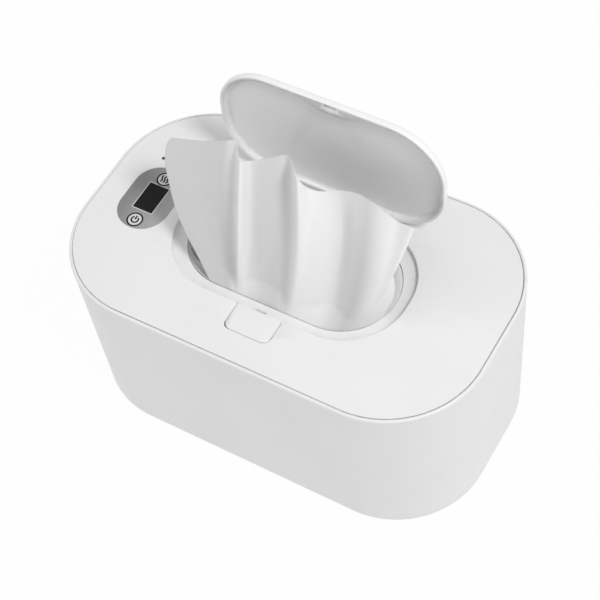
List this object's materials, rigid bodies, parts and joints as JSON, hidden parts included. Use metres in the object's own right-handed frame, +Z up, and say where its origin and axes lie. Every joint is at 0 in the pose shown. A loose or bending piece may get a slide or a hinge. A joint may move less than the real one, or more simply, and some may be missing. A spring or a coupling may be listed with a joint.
{
  "type": "baby wipe warmer",
  "caption": "Baby wipe warmer: tapered white body with a heated wipe chamber, lift-off top with touch panel and display, push-button latch and sprung oval flip cap with a wipe pulled up.",
  "frame": {"origin": "centre of the body's footprint, on the plane its rubber feet stand on", "axes": "+Z up, +X along the long side to the right as seen from the front, +Y to the back, where the flip cap is hinged"},
  "size_m": [0.2, 0.12, 0.1531],
  "materials": {
    "shell_white": "satin",
    "lid_white": "satin",
    "inner_white": "satin",
    "cover_grey": "matte",
    "foot_rubber": "matte",
    "seal_rubber": "soft",
    "steel": "satin",
    "spring_steel": "bright",
    "spreader": "satin",
    "film": "satin",
    "foam": "soft",
    "sensor_black": "matte",
    "board_green": "satin",
    "wire_red": "satin",
    "panel_grey": "satin",
    "display_black": "gloss",
    "lens_clear": "gloss",
    "wipe_cloth": "soft damp non-woven"
  },
  "bodies": {
    "base": {"outer_shell": "shell_white", "bottom_cover": "cover_grey", "rubber_feet": "foot_rubber", "cover_screws": "steel", "wipe_chamber": "inner_white", "chamber_screws": "steel", "insulation_sleeve": "foam", "heat_spreader": "spreader", "heater_film": "film", "insulation_pad": "foam", "temperature_sensor": "sensor_black", "thermal_cutoff": "steel", "power_board": "board_green", "power_socket": "steel", "board_screws": "steel", "heater_leads": "wire_red"},
    "top_lid": {"lid_plate": "lid_white", "lid_liner": "inner_white", "lid_screws": "steel", "lid_seal": "seal_rubber", "control_panel": "panel_grey", "display_window": "display_black", "display_module": "sensor_black", "control_board": "board_green", "control_board_screws": "steel", "touch_springs": "spring_steel", "indicator_lens": "lens_clear", "button_pin": "steel", "button_spring": "spring_steel", "cap_hinge_pin": "steel", "cap_spring": "spring_steel", "wipe": "wipe_cloth"},
    "latch": {"latch_button": "lid_white"},
    "cap": {"flip_cap": "lid_white"}
  },
  "joints": [
    {"name": "lid_lift", "type": "slide", "parent": "base", "child": "top_lid", "axis": [0, 0, 1], "range_m": [0, 0.05]},
    {"name": "cap_hinge", "type": "hinge", "parent": "top_lid", "child": "cap", "pos_m": [0, 0.0346, 0.0891], "axis": [1, 0, 0], "range_deg": [0, 92.8], "stiffness_Nm_per_rad": 0.004, "springref_deg": -28.65, "deforming": ["wipe", "cap_spring"]},
    {"name": "button_rock", "type": "hinge", "parent": "top_lid", "child": "latch", "pos_m": [0.0017, -0.0336, 0.0892], "axis": [1, 0, 0], "range_deg": [0, 7], "stiffness_Nm_per_rad": 0.02, "springref_deg": -11.46, "deforming": ["button_spring"]}
  ]
}
